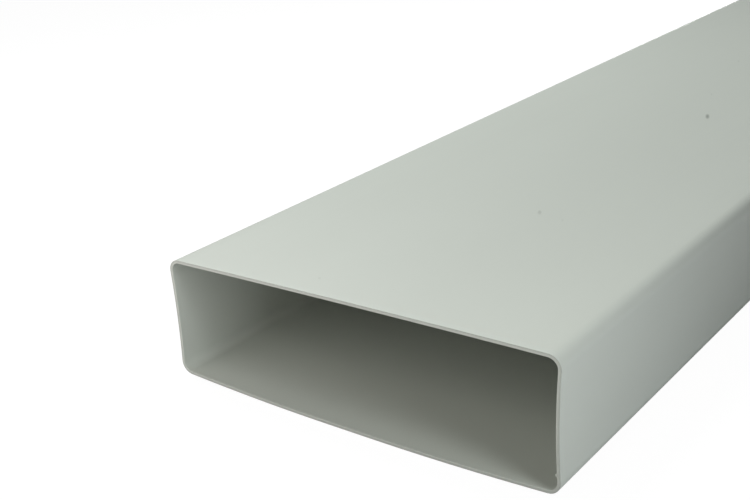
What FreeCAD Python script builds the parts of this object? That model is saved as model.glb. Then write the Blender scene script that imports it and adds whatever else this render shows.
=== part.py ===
"""Flat channel duct: one length of thin-walled rectangular ventilation duct, extruded in one piece.

Frame: +Y runs along the duct, +X across its width, +Z up.
The origin is on the floor under the middle of the length.
The section is a rounded rectangle whose broad walls belly out a little and whose narrow walls are drawn in.
"""
import FreeCAD
import Part
import os

# Driving dimensions, in millimetres
length = 1000.0           # one sold length, sawn square at both ends
width = 204.0             # outside, over the rounded corners
height = 60.0             # outside, over the rounded corners, without the crowns
wall = 1.5                # thickness of all four walls
corner_radius = 6.0       # outside of the four long corners
bottom_crown = 2.4        # how far the bottom wall bellies out below its corners
top_crown = 0.45          # how far the top wall bellies out above its corners
side_crown = -0.7         # negative, because the narrow walls are drawn in
bearing_width = 24.0      # strip of the bottom wall that lies flat on the floor
least_inner_radius = 0.3  # the inside corners never get sharper than this

RIGHT = FreeCAD.Vector(1, 0, 0)
UP = FreeCAD.Vector(0, 0, 1)


def arc_about(centre, start, end):
    """Shorter arc round a centre, from one point to another."""
    bisector = (start - centre) + (end - centre)
    bisector.normalize()
    return Part.Arc(start, centre + bisector * (start - centre).Length, end).toShape()


def straight(start, end):
    return Part.LineSegment(start, end).toShape()


def crowned_wall(first_corner, last_corner, outward, corner, crown, flat):
    """Edges of one wall, from the circle of its first corner to that of its last, and its two end points.

    The wall is level at its crest and tangent to both corner circles. Its radius follows from those
    two conditions, and is negative where the wall is drawn in, because its centre is then outside.
    """
    span = last_corner - first_corner
    along = FreeCAD.Vector(span).normalize()
    if crown == 0:
        first, last = first_corner + outward * corner, last_corner + outward * corner
        return [straight(first, last)], first, last
    run = (span.Length - flat) / 2
    radius = (run ** 2 + 2 * corner * crown + crown ** 2) / (2 * crown)
    middle = (first_corner + last_corner) / 2 + outward * (corner + crown)
    edges, crests, ends = [], [], []
    for corner_centre, sign in ((first_corner, -1), (last_corner, 1)):
        crest = middle + along * (sign * flat / 2)
        wall_centre = crest - outward * radius
        end = corner_centre + (corner_centre - wall_centre) * (corner / (radius - corner))
        crests.append(crest)
        ends.append(end)
        if flat > 0:
            edges.append(arc_about(wall_centre, end, crest))
    if flat > 0:
        edges.append(straight(*crests))
    else:
        edges.append(arc_about(wall_centre, *ends))
    return edges, ends[0], ends[1]


def section_outline(over_width, over_height, corner):
    """Closed wire of a section in the XZ plane, about the middle of its corner circles."""
    x = RIGHT * (over_width / 2 - corner)
    z = UP * (over_height / 2 - corner)
    corners = [-x - z, x - z, x + z, -x + z]
    walls = [
        (-UP, bottom_crown, bearing_width),
        (RIGHT, side_crown, 0),
        (UP, top_crown, 0),
        (-RIGHT, side_crown, 0),
    ]
    edges, joints = [], []
    for k, (outward, crown, flat) in enumerate(walls):
        wall_edges, first, last = crowned_wall(corners[k], corners[(k + 1) % 4], outward, corner, crown, flat)
        edges += wall_edges
        joints.append((first, last))
    for k, centre in enumerate(corners):
        edges.append(arc_about(centre, joints[k - 1][1], joints[k][0]))
    return Part.Wire(Part.__sortEdges__(edges))


def extruded_duct():
    """The outer section less the inner one, carried along the whole length and set on the floor."""
    inner_radius = max(corner_radius - wall, least_inner_radius)
    outer = section_outline(width, height, corner_radius)
    inner = section_outline(width - 2 * wall, height - 2 * wall, inner_radius)
    along = FreeCAD.Vector(0, length, 0)
    tube = Part.Face(outer).extrude(along).cut(Part.Face(inner).extrude(along))
    tube.translate(-along / 2 + UP * (height / 2 + bottom_crown))
    return tube


os.makedirs("parts", exist_ok=True)
duct = extruded_duct().Solids[0]
box = duct.BoundBox
print("duct: valid", duct.isValid(), "closed", duct.isClosed(), "faces", len(duct.Faces))
print("box mm", round(box.XLength, 3), round(box.YLength, 3), round(box.ZLength, 3), "lowest", round(box.ZMin, 6))
print("volume cm3", round(duct.Volume / 1000, 2))
duct.exportStep("parts/duct.step")
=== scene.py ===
# %% [markdown]
# # Flat channel duct
# The object is one length of flat ventilation duct: a thin rectangular tube of grey rigid PVC that was
# pushed through a die, cooled and sawn to length. It is one piece, with nothing fastened to it. The packed
# solid fixes its size and place. This lesson works the same tube out again as one fine mesh, because the
# solid's own mesh has flat facets along the corners. Then it adds a finish, a floor, lights and a camera.

# %% Load the solid as a fixed frame
from collections import namedtuple

import bpy
import numpy as np
from mathutils import Matrix, Vector


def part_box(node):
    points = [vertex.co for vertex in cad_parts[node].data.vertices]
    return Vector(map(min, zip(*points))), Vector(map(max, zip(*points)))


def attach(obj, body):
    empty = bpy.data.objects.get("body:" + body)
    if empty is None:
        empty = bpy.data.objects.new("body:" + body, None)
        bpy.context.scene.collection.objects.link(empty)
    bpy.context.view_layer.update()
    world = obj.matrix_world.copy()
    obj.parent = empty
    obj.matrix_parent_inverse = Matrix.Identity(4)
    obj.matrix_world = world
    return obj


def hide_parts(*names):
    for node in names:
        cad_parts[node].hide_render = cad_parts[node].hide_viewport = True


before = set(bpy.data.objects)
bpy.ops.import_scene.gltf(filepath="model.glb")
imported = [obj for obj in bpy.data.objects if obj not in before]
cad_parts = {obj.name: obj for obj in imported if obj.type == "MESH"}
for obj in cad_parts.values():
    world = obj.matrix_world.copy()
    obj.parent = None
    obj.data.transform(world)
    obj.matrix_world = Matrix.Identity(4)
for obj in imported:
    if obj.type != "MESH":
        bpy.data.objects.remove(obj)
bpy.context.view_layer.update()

MM = 0.001

# %% [markdown]
# ## The section
# Every cut across a duct shows the same section: four corner circles joined by four walls. No wall is quite
# flat. The broad walls belly out and the narrow ones are drawn in, because the tube shrank as it cooled.
# A curve object could be drawn and extruded instead. Arcs that are worked out, so that they meet on common
# tangents, keep the highlights along the corners clean. They also give the outward direction at every
# point, which the wall's thickness and its unevenness need.

# %% Sizes of the section
WIDTH = 204 * MM            # outside, over the corners
HEIGHT = 60 * MM            # outside, over the corners, without the crowns
WALL = 1.5 * MM             # thickness of all four walls
CORNER = 6 * MM             # outside radius of the long corners
BOTTOM_CROWN = 2.4 * MM     # how far the bottom wall bellies out below its corners
TOP_CROWN = 0.45 * MM       # how far the top wall bellies out above its corners
SIDE_CROWN = -0.7 * MM      # negative, because the narrow walls are drawn in
BEARING = 24 * MM           # flat strip of the bottom wall that lies on the floor
CORNER_STEPS = 18

# A wall faces an angle in degrees. half_span is half the way between its two corner centres, half_other is
# the same for its neighbours, and flat is the width of its flat strip.
Wall = namedtuple("Wall", "name angle half_span half_other crown flat steps")
half_across = WIDTH / 2 - CORNER
half_upright = HEIGHT / 2 - CORNER
walls = [
    Wall("bottom", -90, half_across, half_upright, BOTTOM_CROWN, BEARING, 56),
    Wall("right", 0, half_upright, half_across, SIDE_CROWN, 0.0, 24),
    Wall("top", 90, half_across, half_upright, TOP_CROWN, 0.0, 56),
    Wall("left", 180, half_upright, half_across, SIDE_CROWN, 0.0, 24),
]
middle = np.array([0.0, BOTTOM_CROWN + HEIGHT / 2])
top_height = BOTTOM_CROWN + HEIGHT + TOP_CROWN
print("section, mm:", round(WIDTH / MM, 2), "wide and", round(top_height / MM, 2), "high over the crowns")

# %% [markdown]
# A wall has to be level at its crest and has to run into the corner circle without a kink. Those two
# conditions fix its radius, so the radius isn't a size of its own. A drawn-in wall comes out of the same
# formula with a negative radius.


# %% Arcs of the section
def direction(angle):
    """Unit vectors in the plane of the section: the cosine along X and the sine along Z."""
    return np.stack([np.cos(angle), np.sin(angle)], axis=-1)


def wall_bend(wall):
    """Radius of a wall's arc, and its tilt where it meets the corner circle.

    With run as the way from the flat strip to the corner's centre, Pythagoras on the two centres gives
    radius = (run squared + 2 corner crown + crown squared) / (2 crown). The sine of the tilt is
    run / (radius - corner). Both are negative for a wall that is drawn in.
    """
    run = wall.half_span - wall.flat / 2
    radius = (run ** 2 + 2 * CORNER * wall.crown + wall.crown ** 2) / (2 * wall.crown)
    return radius, np.arcsin(run / (radius - CORNER))


def wall_stretch(wall, extra_stops=()):
    """Points and outward directions along one wall, by distance from its middle.

    Within the flat strip the point slides sideways. Beyond the strip the outward direction turns by
    distance / radius, and the point is the arc's centre plus the radius times that direction.
    """
    radius, tilt = wall_bend(wall)
    half_length = wall.flat / 2 + radius * tilt
    along = np.linspace(-half_length, half_length, wall.steps, endpoint=False)
    along = np.union1d(along, extra_stops)
    slide = np.clip(along, -wall.flat / 2, wall.flat / 2)
    facing = np.radians(wall.angle)
    normals = direction(facing + (along - slide) / radius)
    crest = wall.half_other + CORNER + wall.crown
    centre = middle + direction(facing) * (crest - radius)
    return centre + slide[:, None] * direction(facing + np.pi / 2) + radius * normals, normals


def corner_stretch(wall, following):
    """Points and outward directions round the corner after a wall: the centre plus the radius times a
    direction that turns from the wall's tilted end to the tilted start of the wall that follows."""
    facing = np.radians(wall.angle)
    start = facing + wall_bend(wall)[1]
    end = facing + np.pi / 2 - wall_bend(following)[1]
    normals = direction(np.linspace(start, end, CORNER_STEPS, endpoint=False))
    centre = middle + wall.half_other * direction(facing) + wall.half_span * direction(facing + np.pi / 2)
    return centre + CORNER * normals, normals


# %% [markdown]
# Walls and corners follow each other anticlockwise, starting at the lower left. The saw left one small burr
# on the inner edge of the near end, low on the right wall. It is under a millimetre across, so the right
# wall gets extra stops there, close enough together to carry its shape later.

# %% The outline, all the way round
BURR_HEIGHT = 11.8 * MM     # above the floor
BURR_WIDTH = 0.45 * MM      # how fast the burr dies away to each side
BURR_SPAN = 4               # burr widths to each side that get extra stops
BURR_STEPS = 24
burr_stops = np.linspace(-BURR_SPAN, BURR_SPAN, BURR_STEPS + 1) * BURR_WIDTH + BURR_HEIGHT - middle[1]

stretches = []
for wall, following in zip(walls, walls[1:] + walls[:1]):
    stretches.append(wall_stretch(wall, burr_stops if wall.name == "right" else ()))
    stretches.append(corner_stretch(wall, following))
outline = np.concatenate([points for points, normals in stretches])
outward = np.concatenate([normals for points, normals in stretches])
steps_round = np.linalg.norm(np.roll(outline, -1, axis=0) - outline, axis=1)
walked = np.concatenate([[0.0], np.cumsum(steps_round)])
girth = walked[-1]
print("outline:", len(outline), "points,", round(girth / MM, 1), "mm round the outside")

# %% [markdown]
# ## The tube
# The tube is a wall of even thickness, and the saw leaves its ends square with a barely broken edge.
# A Solidify modifier could thicken a skin, and a Bevel could break the edges. Here the wall itself is the
# profile instead: cut lengthwise, it is a long thin bar with rounded corners. Carried round the section,
# that bar closes on itself both ways, like the skin of a ring, so the mesh has no open edge and no pole.

# %% The wall, cut lengthwise
low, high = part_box("duct")
HALF_LENGTH = (high.y - low.y) / 2
ARRIS = 0.12 * MM           # radius of the broken edges at the sawn ends
LENGTH_STEPS = 90
RIM_STEPS = 8
ARRIS_STEPS = 4


def wall_profile():
    """Depth below the outer skin, place along the length, and facing, of a closed bar with rounded corners.

    Every point is a centre plus the arris radius times a facing direction. The centre runs round a
    rectangle, and at each of its corners the facing turns by a quarter circle. Along the length the
    centre's share of the way is (1 - cosine) / 2, which crowds the steps towards the sawn ends.
    """
    end = HALF_LENGTH - ARRIS
    skin, hollow = ARRIS, WALL - ARRIS
    corners = np.array([[skin, -end], [skin, end], [hollow, end], [hollow, -end]])
    centres, angles = [], []
    for side in range(4):
        first, last = corners[side], corners[(side + 1) % 4]
        is_rim = side % 2 == 1
        steps = RIM_STEPS if is_rim else LENGTH_STEPS
        share = np.linspace(0, 1, steps, endpoint=False)
        if not is_rim:
            share = (1 - np.cos(np.pi * share)) / 2
        centres.append(first + share[:, None] * (last - first))
        angles.append(np.full(steps, side * np.pi / 2))
        centres.append(np.tile(last, (ARRIS_STEPS, 1)))
        angles.append((side + np.linspace(0, 1, ARRIS_STEPS, endpoint=False)) * np.pi / 2)
    centres = np.concatenate(centres)
    facing = direction(np.concatenate(angles))
    return centres[:, 0] - ARRIS * facing[:, 0], centres[:, 1] + ARRIS * facing[:, 1], facing


depth, along, facing = wall_profile()
print("wall profile:", len(depth), "points, from", along.min(), "to", along.max(), "m along the length")

# %% [markdown]
# A real tube isn't perfect. It leaves the die in slow waves, a few hundredths of a millimetre deep, and
# the saw wanders a little as it crosses. Noise could be added to the mesh with a Displace modifier. Sines
# are enough for waves this slow, and they close round the section. They only draw the walls inwards and the
# ends back, so that the tube stays within its size, and the strip that it lies on stays flat.

# %% Unevenness
WAVE_DEPTH = 0.06 * MM
SAW_DEPTH = 0.05 * MM
FULL_SAG_HEIGHT = 1 * MM                        # below it the wall sags less, and not at all on the floor
# Turns and share of each wave
SLOW_TURNS, SLOW_SHARE = 3.3, 0.7               # along the length
QUICK_TURNS, QUICK_SHARE = 8.7, 0.3             # along the length
DRIFT_WAVES = [(3, 0.06), (7, 0.04)]            # round the section, in shares of the length
SAW_WAVES = [(9, 0.5), (23, 0.3), (41, 0.2)]    # round the rim


def wave(turns, place):
    """A wave from 0 to 1: half of 1 plus the sine of so many turns, at a place from 0 to 1."""
    return 0.5 + 0.5 * np.sin(2 * np.pi * turns * place)


def wall_hollow(round_share, length_share):
    """How far the wall sags inwards: a slow and a quick wave along the length. Both drift along as they go
    round the section, the quick one half as far and the other way."""
    drift = sum(share * np.sin(2 * np.pi * turns * round_share) for turns, share in DRIFT_WAVES)
    slow = SLOW_SHARE * wave(SLOW_TURNS, length_share + drift)
    quick = QUICK_SHARE * wave(QUICK_TURNS, length_share - drift / 2)
    return WAVE_DEPTH * (slow + quick)


def saw_hollow(round_share):
    """How far the saw cut in: waves round the rim, of a whole number of turns so that they close."""
    return SAW_DEPTH * sum(share * wave(turns, round_share) for turns, share in SAW_WAVES)


round_share = walked[None, :-1] / girth
length_share = along[:, None] / (2 * HALF_LENGTH) + 0.5
off_floor = np.clip(outline[None, :, 1] / FULL_SAG_HEIGHT, 0, 1)
sag = wall_hollow(round_share, length_share) * off_floor
cut = saw_hollow(round_share) * np.abs(facing[:, 1:])
across = outline - (depth[:, None, None] + sag[..., None]) * outward
lengthwise = along[:, None] - np.sign(along[:, None]) * cut
print("deepest sag and cut, mm:", round(sag.max() / MM, 3), round(cut.max() / MM, 3))

# %% [markdown]
# The burr is a scrap of plastic that the saw pushed over the inner edge and left hanging there. It could be
# a separate crumb, but it grew out of the wall, so the wall's own points are drawn out into the opening.

# %% The burr
BURR_REACH = 1.0 * MM       # how far it stands into the opening
BURR_DEPTH = 0.4 * MM       # how fast it dies away from the inner edge
BURR_LEAN = 0.3             # share of its reach by which it leans back from the end
from_edge = np.hypot(along + HALF_LENGTH, depth - WALL)
on_right_wall = outward[:, 0] > 0.9
near_burr = np.exp(-((outline[:, 1] - BURR_HEIGHT) / BURR_WIDTH) ** 2) * on_right_wall
burr = BURR_REACH * np.exp(-(from_edge[:, None] / BURR_DEPTH) ** 2) * near_burr
across = across - burr[..., None] * outward
lengthwise = lengthwise + BURR_LEAN * burr
print("burr stands", round(burr.max() / MM, 2), "mm into the opening")

# %% [markdown]
# The grid of points becomes a mesh in whole arrays. Each face joins a point to the next one round the
# section and the next one along the profile, and the last ones join the first.


# %% Mesh of a grid that closes both ways
def ring_mesh(name, points):
    """Mesh whose face at a row and column joins that point to the next row and column, both wrapping."""
    rows, columns = points.shape[:2]
    here = np.arange(rows * columns).reshape(rows, columns)
    beside = np.roll(here, -1, axis=1)
    corners = np.stack([here, beside, np.roll(beside, -1, axis=0), np.roll(here, -1, axis=0)], axis=-1)
    mesh = bpy.data.meshes.new(name)
    mesh.vertices.add(rows * columns)
    mesh.vertices.foreach_set("co", points.ravel().astype(np.float32))
    mesh.loops.add(corners.size)
    mesh.loops.foreach_set("vertex_index", corners.ravel().astype(np.int32))
    mesh.polygons.add(rows * columns)
    mesh.polygons.foreach_set("loop_start", np.arange(0, corners.size, 4, dtype=np.int32))
    mesh.polygons.foreach_set("use_smooth", np.ones(rows * columns, dtype=bool))
    mesh.update(calc_edges=True)
    return mesh


points = np.stack([across[..., 0], lengthwise, across[..., 1]], axis=-1)
tube_mesh = ring_mesh("duct_shell", points)
duct_shell = bpy.data.objects.new("duct_shell", tube_mesh)
bpy.context.scene.collection.objects.link(duct_shell)
print("duct_shell:", len(tube_mesh.vertices), "vertices,", len(tube_mesh.polygons), "faces")

# %% [markdown]
# ## Maps on the surface
# The finish follows the tube, so it has to know where it is on it. One map gives real metres: the way
# round the section and the way along. The other lays the tube out flat for baked textures: the outside
# with its two sawn rims on the left half, and the inside on the right half. Blender could unwrap the tube
# by itself, but the grid already knows both.


# %% Two maps
def new_map(name, round_values, start_values, end_values):
    """A UV map of the tube. Across a face it takes the values round the section at its two sides, and up
    the face the values at the start and end of its row."""
    rows, columns = round_values.shape[0], round_values.shape[1] - 1
    values = np.empty((rows, columns, 4, 2), dtype=np.float32)
    values[:, :, [0, 3], 0] = round_values[:, :-1, None]
    values[:, :, [1, 2], 0] = round_values[:, 1:, None]
    values[:, :, :2, 1] = start_values[:, None, None]
    values[:, :, 2:, 1] = end_values[:, None, None]
    uv_map = tube_mesh.uv_layers.new(name=name)
    uv_map.uv.foreach_set("vector", values.ravel())


MARGIN = 0.01               # of the flat layout, round each half
RIM_BAND = 0.02             # height of a sawn rim in the flat layout
rows = len(along)
row_numbers = np.arange(rows)
inside_start = LENGTH_STEPS + RIM_STEPS + 2 * ARRIS_STEPS
inside_end = inside_start + LENGTH_STEPS
is_inside = (row_numbers >= inside_start) & (row_numbers < inside_end)
is_sawn = (row_numbers >= LENGTH_STEPS) & ~is_inside

round_metres = np.broadcast_to(walked, (rows, len(walked)))
new_map("metres", round_metres, along, np.roll(along, -1))

steps_along = np.hypot(np.roll(along, -1) - along, np.roll(depth, -1) - depth)
crossed = np.concatenate([[0.0], np.cumsum(steps_along)])
stops = crossed[[0, LENGTH_STEPS, inside_start, inside_end, rows]]
bottom, top = MARGIN + RIM_BAND, 1 - MARGIN - RIM_BAND
outside_layout = np.interp(crossed, stops, [bottom, top, top + RIM_BAND, bottom - RIM_BAND, bottom])
inside_layout = np.interp(crossed, stops, [top, top, top, bottom, bottom])
start_layout = np.where(is_inside, inside_layout[:-1], outside_layout[:-1])
end_layout = np.where(is_inside, inside_layout[1:], outside_layout[1:])
round_layout = MARGIN + 0.5 * is_inside[:, None] + (0.5 - 2 * MARGIN) * round_metres / girth
new_map("OFBake", round_layout, start_layout, end_layout)
print("maps:", [uv_map.name for uv_map in tube_mesh.uv_layers])

# %% [markdown]
# The finish also has to know how near the sawn edge a point is, and how deep in the wall. Each is a number
# at every point of the mesh. The sawn faces take the second material.


# %% Edges and depth
def point_values(name, row_values):
    """A number at every point of the tube, the same all round each row."""
    layer = tube_mesh.attributes.new(name, "FLOAT", "POINT")
    layer.data.foreach_set("value", np.repeat(row_values, len(outline)).astype(np.float32))


EDGE_FADE = 1.5 * MM
point_values("edge", np.exp((np.abs(along) - HALF_LENGTH) / EDGE_FADE))
point_values("depth_share", np.clip(depth / WALL, 0, 1))
tube_mesh.polygons.foreach_set("material_index", np.repeat(is_sawn, len(outline)).astype(np.int32))
print("sawn faces:", int(is_sawn.sum()) * len(outline))

# %% [markdown]
# ## Helpers for materials
# Blender builds a finish from nodes, and one node takes several lines of code. These helpers add a node, or
# an empty group with named sockets, in one line each, so that the recipes below read as recipes.


# %% Node helpers
MIX_FIRST, MIX_SECOND, MIX_RESULT = 6, 7, 2     # the Mix node's colour sockets share their names


def add(tree, kind, inputs=(), **settings):
    """A new node in a tree. Each input is either a value or another node's output, which is joined to it."""
    made = tree.nodes.new("ShaderNode" + kind)
    for name, value in settings.items():
        setattr(made, name, value)
    for name, value in dict(inputs).items():
        if isinstance(value, bpy.types.NodeSocket):
            tree.links.new(value, made.inputs[name])
        else:
            made.inputs[name].default_value = value
    return made


def maths(tree, operation, first, second=0.0, third=0.0):
    """The result of one operation on numbers."""
    return add(tree, "Math", {0: first, 1: second, 2: third}, operation=operation).outputs[0]


def fade(tree, value, start, end):
    """A share that goes from 0 where the value is start to 1 where it is end."""
    return add(tree, "MapRange", {"Value": value, "From Min": start, "From Max": end}).outputs[0]


def tinted(tree, colour, other, share):
    """One colour laid over another, by a share from 0 to 1."""
    mix = add(tree, "Mix", {"Factor": share, MIX_FIRST: colour, MIX_SECOND: other}, data_type="RGBA")
    return mix.outputs[MIX_RESULT]


def blended(tree, first, second, share):
    """Two numbers weighed together: the first by its share and the second by the rest."""
    return maths(tree, "MULTIPLY_ADD", first, share, maths(tree, "MULTIPLY", second, 1 - share))


def new_group(name, inputs, output):
    """An empty group with named input sockets and one output: the tree, its inputs and its output."""
    tree = bpy.data.node_groups.new(name, "ShaderNodeTree")
    for label, kind, value in inputs:
        socket = tree.interface.new_socket(label, in_out="INPUT", socket_type="NodeSocket" + kind)
        socket.default_value = value
    label, kind = output
    tree.interface.new_socket(label, in_out="OUTPUT", socket_type="NodeSocket" + kind)
    return tree, tree.nodes.new("NodeGroupInput").outputs, tree.nodes.new("NodeGroupOutput").inputs[label]


def use(tree, group, inputs):
    """Places a group in a tree with its own values, and gives its output."""
    return add(tree, "Group", inputs, node_tree=group).outputs[0]


def new_material(name):
    """A material with only a Principled BSDF, joined to the output: the material, its tree and the shader."""
    material = bpy.data.materials.new(name)
    material.use_nodes = True
    tree = material.node_tree
    tree.nodes.clear()
    shader = add(tree, "BsdfPrincipled")
    add(tree, "OutputMaterial", {"Surface": shader.outputs[0]})
    return material, tree, shader


helpers = (add, maths, fade, tinted, blended, new_group, use, new_material)
print("helpers:", [helper.__name__ for helper in helpers])

# %% [markdown]
# ## Effects that the finishes share
# The skin and the sawn ends are the same plastic, so they share their effects: streaks drawn out one way, a
# fine grain, and a faint mottle in the tint. Each is a node group that is built once, and each material
# places it with its own values.

# %% Streaks
streaks, given, result = new_group(
    "streaks",
    [("Place", "Vector", (0, 0, 0)), ("Size", "Vector", (1, 1, 1)), ("Detail", "Float", 2.0)],
    ("Height", "Float"),
)
in_sizes = add(streaks, "VectorMath", {0: given["Place"], 1: given["Size"]}, operation="DIVIDE")
lines = add(streaks, "TexNoise", {"Vector": in_sizes.outputs[0], "Scale": 1.0, "Detail": given["Detail"]})
streaks.links.new(lines.outputs[0], result)
print("group:", streaks.name)

# %% Grain
grain, given, result = new_group(
    "grain",
    [("Place", "Vector", (0, 0, 0)), ("Size", "Float", 1 * MM)],
    ("Height", "Float"),
)
fineness = maths(grain, "DIVIDE", 1.0, given["Size"])
bumps = add(grain, "TexNoise", {"Vector": given["Place"], "Scale": fineness, "Detail": 2.0})
grain.links.new(bumps.outputs[0], result)
print("group:", grain.name)

# %% Mottle
mottle, given, result = new_group(
    "mottle",
    [
        ("Colour", "Color", (1, 1, 1, 1)),
        ("Place", "Vector", (0, 0, 0)),
        ("Size", "Float", 100 * MM),
        ("Amount", "Float", 0.02),
    ],
    ("Colour", "Color"),
)
fineness = maths(mottle, "DIVIDE", 1.0, given["Size"])
clouds = add(mottle, "TexNoise", {"Vector": given["Place"], "Scale": fineness, "Detail": 3.0})
above_mean = maths(mottle, "SUBTRACT", clouds.outputs[0], 0.5)
shade = maths(mottle, "MULTIPLY_ADD", above_mean, given["Amount"], 1.0)
shaded = add(mottle, "VectorMath", {0: given["Colour"], "Scale": shade}, operation="SCALE")
mottle.links.new(shaded.outputs[0], result)
print("group:", mottle.name)

# %% [markdown]
# Dark specks are grit and burnt crumbs in the plastic. The skin has a few that show, long and thin and each
# turned its own way, and a thin scatter of smaller ones. One group draws a single speck, by turning the
# place back and measuring it in half sizes of the speck. Another scatters crumbs through the plastic, of
# which only those that happen to touch the surface show.

# %% Specks and crumbs
SPECK_END, SPECK_CORE = 1.3, 0.4    # in half sizes: where a speck has faded out, and where it is darkest
speck, given, result = new_group(
    "speck",
    [
        ("Place", "Vector", (0, 0, 0)),
        ("Centre", "Vector", (0, 0, 0)),
        ("Half size", "Vector", (1, 1, 1)),
        ("Turn", "Float", 0.0),
    ],
    ("Mask", "Float"),
)
about = {"Vector": given["Place"], "Center": given["Centre"], "Angle": given["Turn"]}
turned = add(speck, "VectorRotate", about, rotation_type="Z_AXIS", invert=True)
offset = add(speck, "VectorMath", {0: turned.outputs[0], 1: given["Centre"]}, operation="SUBTRACT")
in_half_sizes = add(speck, "VectorMath", {0: offset.outputs[0], 1: given["Half size"]}, operation="DIVIDE")
reach = add(speck, "VectorMath", {0: in_half_sizes.outputs[0]}, operation="LENGTH")
speck.links.new(fade(speck, reach.outputs["Value"], SPECK_END, SPECK_CORE), result)

crumbs, given, result = new_group(
    "crumbs",
    [("Place", "Vector", (0, 0, 0)), ("Spacing", "Float", 10 * MM), ("Radius", "Float", 0.5 * MM)],
    ("Mask", "Float"),
)
fineness = maths(crumbs, "DIVIDE", 1.0, given["Spacing"])
scatter = add(crumbs, "TexVoronoi", {"Vector": given["Place"], "Scale": fineness})
distance = maths(crumbs, "MULTIPLY", scatter.outputs["Distance"], given["Spacing"])
crumbs.links.new(fade(crumbs, distance, given["Radius"], 0.0), result)
print("groups:", speck.name, "and", crumbs.name)

# %% [markdown]
# ## The extruded skin
# The skin is satin rigid PVC, pale grey with a touch of green. The die draws faint lines along the length.
# A single colour would look like card, so the tint is mottled, the die lines change both the height and
# the gloss, and the specks sit where the real ones do on the top wall.

# %% Skin material
PVC_GREY = (0.53, 0.56, 0.515, 1)
PVC_IOR, PVC_SPECULAR = 1.53, 0.35
SKIN_ROUGHNESS = 0.38
DIE_DULLING = 0.10          # how much rougher the dullest die lines are
EDGE_DULLING = 0.10         # how much rougher the skin is at its sawn edge
BROAD_LINES = (9 * MM, 900 * MM, 1)     # width and length of the die lines that change the gloss
FINE_LINES = (0.7 * MM, 300 * MM, 1)    # width and length of the die lines in the relief
LINE_SHARE = 0.6            # of the relief; grain is the rest
SPECK_DARK = (0.10, 0.115, 0.095, 1)
SPECK_HALF_DEPTH = 2 * MM
CRUMB_STRENGTH = 0.25
# Specks of the top wall: place across and along, half width, half length, turn in degrees, and strength
Speck = namedtuple("Speck", "across along half_width half_length turn strength")
SPECKS = [
    Speck(27.5 * MM, -170.2 * MM, 1.1 * MM, 5.4 * MM, 21, 0.55),
    Speck(21.1 * MM, -367.3 * MM, 0.9 * MM, 3.0 * MM, 28, 0.25),
    Speck(-22.3 * MM, -485.1 * MM, 0.7 * MM, 1.1 * MM, 38, 0.12),
    Speck(9.8 * MM, -117.4 * MM, 0.6 * MM, 2.7 * MM, 21, 0.12),
    Speck(-8.2 * MM, -19.2 * MM, 0.7 * MM, 3.3 * MM, 20, 0.12),
    Speck(36.0 * MM, -372.4 * MM, 0.5 * MM, 1.6 * MM, 27, 0.10),
]


def skin_tint(tree, place):
    """Mottled grey, then a scatter of faint crumbs, then each speck of the top wall over it."""
    colour = use(tree, mottle, {"Colour": PVC_GREY, "Place": place, "Size": 120 * MM, "Amount": 0.03})
    scatter = use(tree, crumbs, {"Place": place, "Spacing": 14 * MM, "Radius": 0.4 * MM})
    colour = tinted(tree, colour, SPECK_DARK, maths(tree, "MULTIPLY", scatter, CRUMB_STRENGTH))
    for mark in SPECKS:
        mask = use(tree, speck, {
            "Place": place,
            "Centre": (mark.across, mark.along, top_height),
            "Half size": (mark.half_width, mark.half_length, SPECK_HALF_DEPTH),
            "Turn": np.radians(mark.turn),
        })
        colour = tinted(tree, colour, SPECK_DARK, maths(tree, "MULTIPLY", mask, mark.strength))
    return colour


def extruded_skin():
    """Tinted plastic whose gloss changes across broad die lines, and whose relief is fine lines and grain."""
    material, tree, shader = new_material("extruded_skin")
    place = add(tree, "TexCoord").outputs["Object"]
    metres = add(tree, "UVMap", uv_map="metres").outputs[0]
    edge = add(tree, "Attribute", attribute_name="edge").outputs["Fac"]
    tree.links.new(skin_tint(tree, place), shader.inputs["Base Color"])
    broad_lines = use(tree, streaks, {"Place": metres, "Size": BROAD_LINES, "Detail": 3.0})
    roughness = maths(tree, "MULTIPLY_ADD", broad_lines, DIE_DULLING, SKIN_ROUGHNESS)
    roughness = maths(tree, "MULTIPLY_ADD", edge, EDGE_DULLING, roughness)
    tree.links.new(roughness, shader.inputs["Roughness"])
    fine_lines = use(tree, streaks, {"Place": metres, "Size": FINE_LINES, "Detail": 2.0})
    pores = use(tree, grain, {"Place": place, "Size": 1.2 * MM})
    height = blended(tree, fine_lines, pores, LINE_SHARE)
    relief = add(tree, "Bump", {"Strength": 0.25, "Distance": 0.02 * MM, "Height": height})
    tree.links.new(relief.outputs[0], shader.inputs["Normal"])
    shader.inputs["IOR"].default_value = PVC_IOR
    shader.inputs["Specular IOR Level"].default_value = PVC_SPECULAR
    return material


skin = extruded_skin()
tube_mesh.materials.append(skin)
print("extruded_skin:", len(skin.node_tree.nodes), "nodes")

# %% [markdown]
# ## The sawn ends
# A circular saw crossed the tube from the side, and its teeth left shallow arcs across the rim. Cut PVC is
# duller than the skin, and has less green in it. The rim's colour has painted shade along the outer edge
# and a painted highlight along the inner one. The arcs come from a formula: the mark that a point lies on
# is its place along the feed, less the blade's bulge at its height.

# %% Sawn material
SAWN_GREY = (0.495, 0.52, 0.485, 1)
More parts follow.
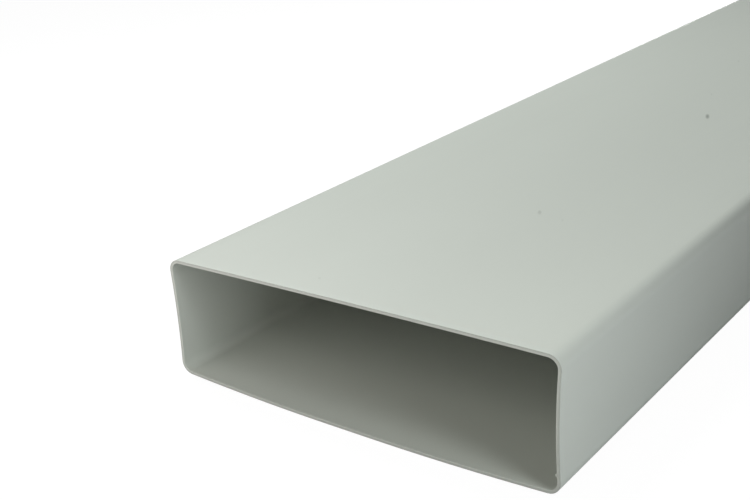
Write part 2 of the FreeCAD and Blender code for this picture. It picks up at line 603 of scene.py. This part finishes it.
# The next two colours are painted shade and a painted highlight, laid over the rim's own grey.
SAWN_PAINTED_SHADE = (0.385, 0.405, 0.375, 1)
SAWN_PAINTED_HIGHLIGHT = (0.595, 0.625, 0.585, 1)
PAINTED_SHADE_STRENGTH, PAINTED_HIGHLIGHT_STRENGTH = 0.8, 0.9
PAINTED_SHADE_END, PAINTED_HIGHLIGHT_START = 0.4, 0.5         # shares of the wall's depth
SAWN_ROUGHNESS = 0.5
PORE_DULLING = 0.2          # how much rougher the highest grain is
SAW_MARKS = (0.5 * MM, 12 * MM, 1)      # width and length of a mark
MARK_SHARE = 0.7            # of the relief; grain is the rest
BLADE_RADIUS = 150 * MM
BLADE_AXIS = 20 * MM        # height of the blade's axis above the floor


def saw_marks(tree, place):
    """Streaks along the arcs of the blade: x - square root of (radius squared - rise squared), with the rise
    measured from the blade's axis."""
    parts = add(tree, "SeparateXYZ", {0: place}).outputs
    rise = maths(tree, "SUBTRACT", parts["Z"], BLADE_AXIS)
    bulge = maths(tree, "SQRT", maths(tree, "SUBTRACT", BLADE_RADIUS ** 2, maths(tree, "POWER", rise, 2.0)))
    feed = maths(tree, "SUBTRACT", parts["X"], bulge)
    arcs = add(tree, "CombineXYZ", {"X": feed, "Y": parts["Z"]}).outputs[0]
    return use(tree, streaks, {"Place": arcs, "Size": SAW_MARKS, "Detail": 3.0})


def sawn_tint_with_painted_light(tree, place):
    """Mottled grey, with painted shade along the outer edge and a painted highlight along the inner one."""
    depth_share = add(tree, "Attribute", attribute_name="depth_share").outputs["Fac"]
    colour = use(tree, mottle, {"Colour": SAWN_GREY, "Place": place, "Size": 4 * MM, "Amount": 0.12})
    # Painted shade towards the outer edge, and a painted highlight towards the inner edge.
    painted_shade = maths(tree, "MULTIPLY", fade(tree, depth_share, PAINTED_SHADE_END, 0.0), PAINTED_SHADE_STRENGTH)
    pale = maths(tree, "MULTIPLY", fade(tree, depth_share, PAINTED_HIGHLIGHT_START, 1.0), PAINTED_HIGHLIGHT_STRENGTH)
    return tinted(tree, tinted(tree, colour, SAWN_PAINTED_SHADE, painted_shade), SAWN_PAINTED_HIGHLIGHT, pale)


def sawn_face():
    """Dull plastic with painted shade and highlight along its edges, and the saw's arcs as relief."""
    material, tree, shader = new_material("sawn_face")
    place = add(tree, "TexCoord").outputs["Object"]
    tree.links.new(sawn_tint_with_painted_light(tree, place), shader.inputs["Base Color"])
    pores = use(tree, grain, {"Place": place, "Size": 0.4 * MM})
    roughness = maths(tree, "MULTIPLY_ADD", pores, PORE_DULLING, SAWN_ROUGHNESS)
    tree.links.new(roughness, shader.inputs["Roughness"])
    height = blended(tree, saw_marks(tree, place), pores, MARK_SHARE)
    relief = add(tree, "Bump", {"Strength": 0.4, "Distance": 0.06 * MM, "Height": height})
    tree.links.new(relief.outputs[0], shader.inputs["Normal"])
    shader.inputs["IOR"].default_value = PVC_IOR
    shader.inputs["Specular IOR Level"].default_value = PVC_SPECULAR
    return material


tube_mesh.materials.append(sawn_face())
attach(duct_shell, "root")
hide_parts("duct")
print("materials:", [material.name for material in tube_mesh.materials])

# %% [markdown]
# ## Floor
# The duct lies on a plain pale floor. It is only a stage, so one large sheet is enough. A product picture
# has its floor lit to pure white. Here the floor glows for the camera alone, because light that really came
# off so bright a floor would wash out the shading of the duct. The glow stays just under white, and a thin
# paint over it still takes a faint shadow under the duct.

# %% Floor
FLOOR_HALF = 8.0            # metres, half of its side
FLOOR_GAP = 0.1 * MM        # keeps the floor just below the strip that the duct lies on
FLOOR_PAINT = (0.4, 0.4, 0.4, 1)        # for light that comes off the floor
FLOOR_SHOWN = (0.03, 0.03, 0.03, 1)     # for the camera, over the glow
FLOOR_GLOW = 0.97


def floor_sheet():
    """A square sheet: its four corners at plus and minus half its side."""
    signs = np.array([[-1, -1], [1, -1], [1, 1], [-1, 1]])
    corners = np.column_stack([FLOOR_HALF * signs, np.full(4, -FLOOR_GAP)])
    mesh = bpy.data.meshes.new("floor")
    mesh.from_pydata(corners.tolist(), [], [(0, 1, 2, 3)])
    return bpy.data.objects.new("floor", mesh)


def floor_paint():
    """Matt pale paint with a faint mottle, which glows for camera rays only."""
    material, tree, shader = new_material("floor_paint")
    place = add(tree, "TexCoord").outputs["Object"]
    colour = use(tree, mottle, {"Colour": FLOOR_PAINT, "Place": place, "Size": 0.4, "Amount": 0.03})
    seen = add(tree, "LightPath").outputs["Is Camera Ray"]
    tree.links.new(tinted(tree, colour, FLOOR_SHOWN, seen), shader.inputs["Base Color"])
    tree.links.new(maths(tree, "MULTIPLY", seen, FLOOR_GLOW), shader.inputs["Emission Strength"])
    shader.inputs["Emission Color"].default_value = (1, 1, 1, 1)
    shader.inputs["Roughness"].default_value = 0.8
    return material


floor = floor_sheet()
floor.data.materials.append(floor_paint())
bpy.context.scene.collection.objects.link(floor)
print("floor:", 2 * FLOOR_HALF, "m square")

# %% [markdown]
# ## Light
# Plain soft studio light. A key box above and to the left lights the top wall. Two panels in front of the
# opening reach into it. Two narrow strips beside the near end, one tall and one low, light the right wall,
# and through the opening the left wall, and both walls fade along the length as in the picture. At the
# back, a box lights the far end from above, and a long low strip lights its opening. Another one, beside
# the far half, lights the rest of the right wall. The low ones stand no higher than the duct, so they leave
# no glare on its top. Three lamps are kept out of reflections, because they would glare on the top wall or
# along its corner. One large lamp would be simpler, but couldn't make the top, the side and the inside fade
# each in its own way. The camera sees none of the lamps.


# %% Lamps
WHITE = (1.0, 1.0, 1.0)
LOW = 0.032                 # metres, height of the middle of the low strips
LOW_HEIGHT = 0.05           # metres, height of the low strips themselves


def softbox(name, place, aim, width, height, power, colour=WHITE, reflects=True):
    """A rectangular lamp at a place, turned to face a point, with its height upright. One that doesn't
    reflect lights the duct without showing in its gloss."""
    lamp = bpy.data.lights.new(name, "AREA")
    lamp.shape = "RECTANGLE"
    lamp.size = width
    lamp.size_y = height
    lamp.energy = power
    lamp.color = colour
    holder = bpy.data.objects.new(name, lamp)
    holder.location = place
    holder.rotation_euler = (Vector(aim) - Vector(place)).to_track_quat("-Z", "Y").to_euler()
    holder.visible_camera = False
    holder.visible_glossy = reflects
    bpy.context.scene.collection.objects.link(holder)


softbox("key_box", (-0.5, -0.12, 0.9), (0.0, -0.12, 0.03), 0.6, 0.6, 10.5, (0.977, 1.0, 0.993))
softbox("front_panel", (-0.3, -0.7, 0.17), (-0.3, 0.0, 0.17), 1.0, 0.3, 0.92, (1.0, 0.98, 0.91))
softbox("close_panel", (-0.3, -0.62, 0.17), (-0.3, 0.0, 0.17), 0.6, 0.3, 0.24, (1.0, 0.9, 0.94))
softbox(
    "side_strip", (0.4, -0.58, 0.25), (0.1, -0.58, 0.05), 0.1, 0.45, 0.88, (0.97, 1.0, 1.0), reflects=False
)
softbox("low_side_strip", (0.4, -0.55, LOW), (0.1, -0.55, LOW), 0.1, LOW_HEIGHT, 0.195, (0.9, 0.94, 1.0))
softbox("back_box", (-0.1, 0.95, 0.4), (0.0, 0.6, 0.06), 0.5, 0.4, 1.0, reflects=False)
softbox("low_back_strip", (-0.2, 1.1, LOW), (0.0, 0.5, LOW), 0.8, LOW_HEIGHT, 2.0)
softbox("low_right_strip", (0.45, 0.42, LOW), (0.1, 0.42, LOW), 0.9, LOW_HEIGHT, 0.6, reflects=False)

# %% [markdown]
# The surround is weak as a light, but it shows white behind the floor when the camera looks level.

# %% Surround
SURROUND_LIGHT = 0.05
SURROUND_SHOWN = 0.975
surround = bpy.data.worlds.new("surround")
surround.use_nodes = True
tree = surround.node_tree
background = tree.nodes["Background"]
seen = add(tree, "LightPath").outputs["Is Camera Ray"]
strength = maths(tree, "MULTIPLY_ADD", seen, SURROUND_SHOWN - SURROUND_LIGHT, SURROUND_LIGHT)
tree.links.new(strength, background.inputs["Strength"])
background.inputs["Color"].default_value = (1, 1, 1, 1)
bpy.context.scene.world = surround
bpy.context.scene.view_settings.view_transform = "Standard"
print("surround:", SURROUND_LIGHT, "as a light")

# %% [markdown]
# ## Camera
# The picture was taken from the right front, a little above the duct and close to its open end. It is a
# piece cut out of a larger picture, so the lens doesn't point at its middle, and the camera's shift moves
# the picture instead. Its place, its three angles and the shift follow from the duct's long edges and the
# corners of its rim.

# %% Camera
LENS, SENSOR = 53.53, 36    # millimetres: focal length, and width of the picture in the camera
SHIFT_RIGHT, SHIFT_UP = 0.0981, 0.0419     # shares of the picture's width
CAMERA_PLACE = (0.2708, -0.8288, 0.2486)   # metres
AZIMUTH, ELEVATION, ROLL = np.radians([41.470, 22.450, -4.984])


def camera_turn(azimuth, elevation, roll):
    """Turn of a camera that stands at an azimuth and an elevation from what it looks at.

    Its Z axis points back along the sight line, its X axis is level, Y completes the three, and the roll
    then turns X and Y about the sight line.
    """
    level_back = np.array([np.sin(azimuth), -np.cos(azimuth), 0.0])
    back = np.cos(elevation) * level_back + np.array([0.0, 0.0, np.sin(elevation)])
    level = np.cross([0.0, 0.0, 1.0], level_back)
    upright = np.cross(back, level)
    sideways = np.cos(roll) * level + np.sin(roll) * upright
    upwards = np.cos(roll) * upright - np.sin(roll) * level
    return Matrix(np.column_stack([sideways, upwards, back]).tolist())


lens = bpy.data.cameras.new("camera")
lens.lens = LENS
lens.sensor_width = SENSOR
lens.shift_x = SHIFT_RIGHT
lens.shift_y = SHIFT_UP
camera = bpy.data.objects.new("camera", lens)
turn = camera_turn(AZIMUTH, ELEVATION, ROLL)
camera.matrix_world = Matrix.Translation(CAMERA_PLACE) @ turn.to_4x4()
bpy.context.scene.collection.objects.link(camera)
bpy.context.scene.camera = camera
print("camera at", CAMERA_PLACE)
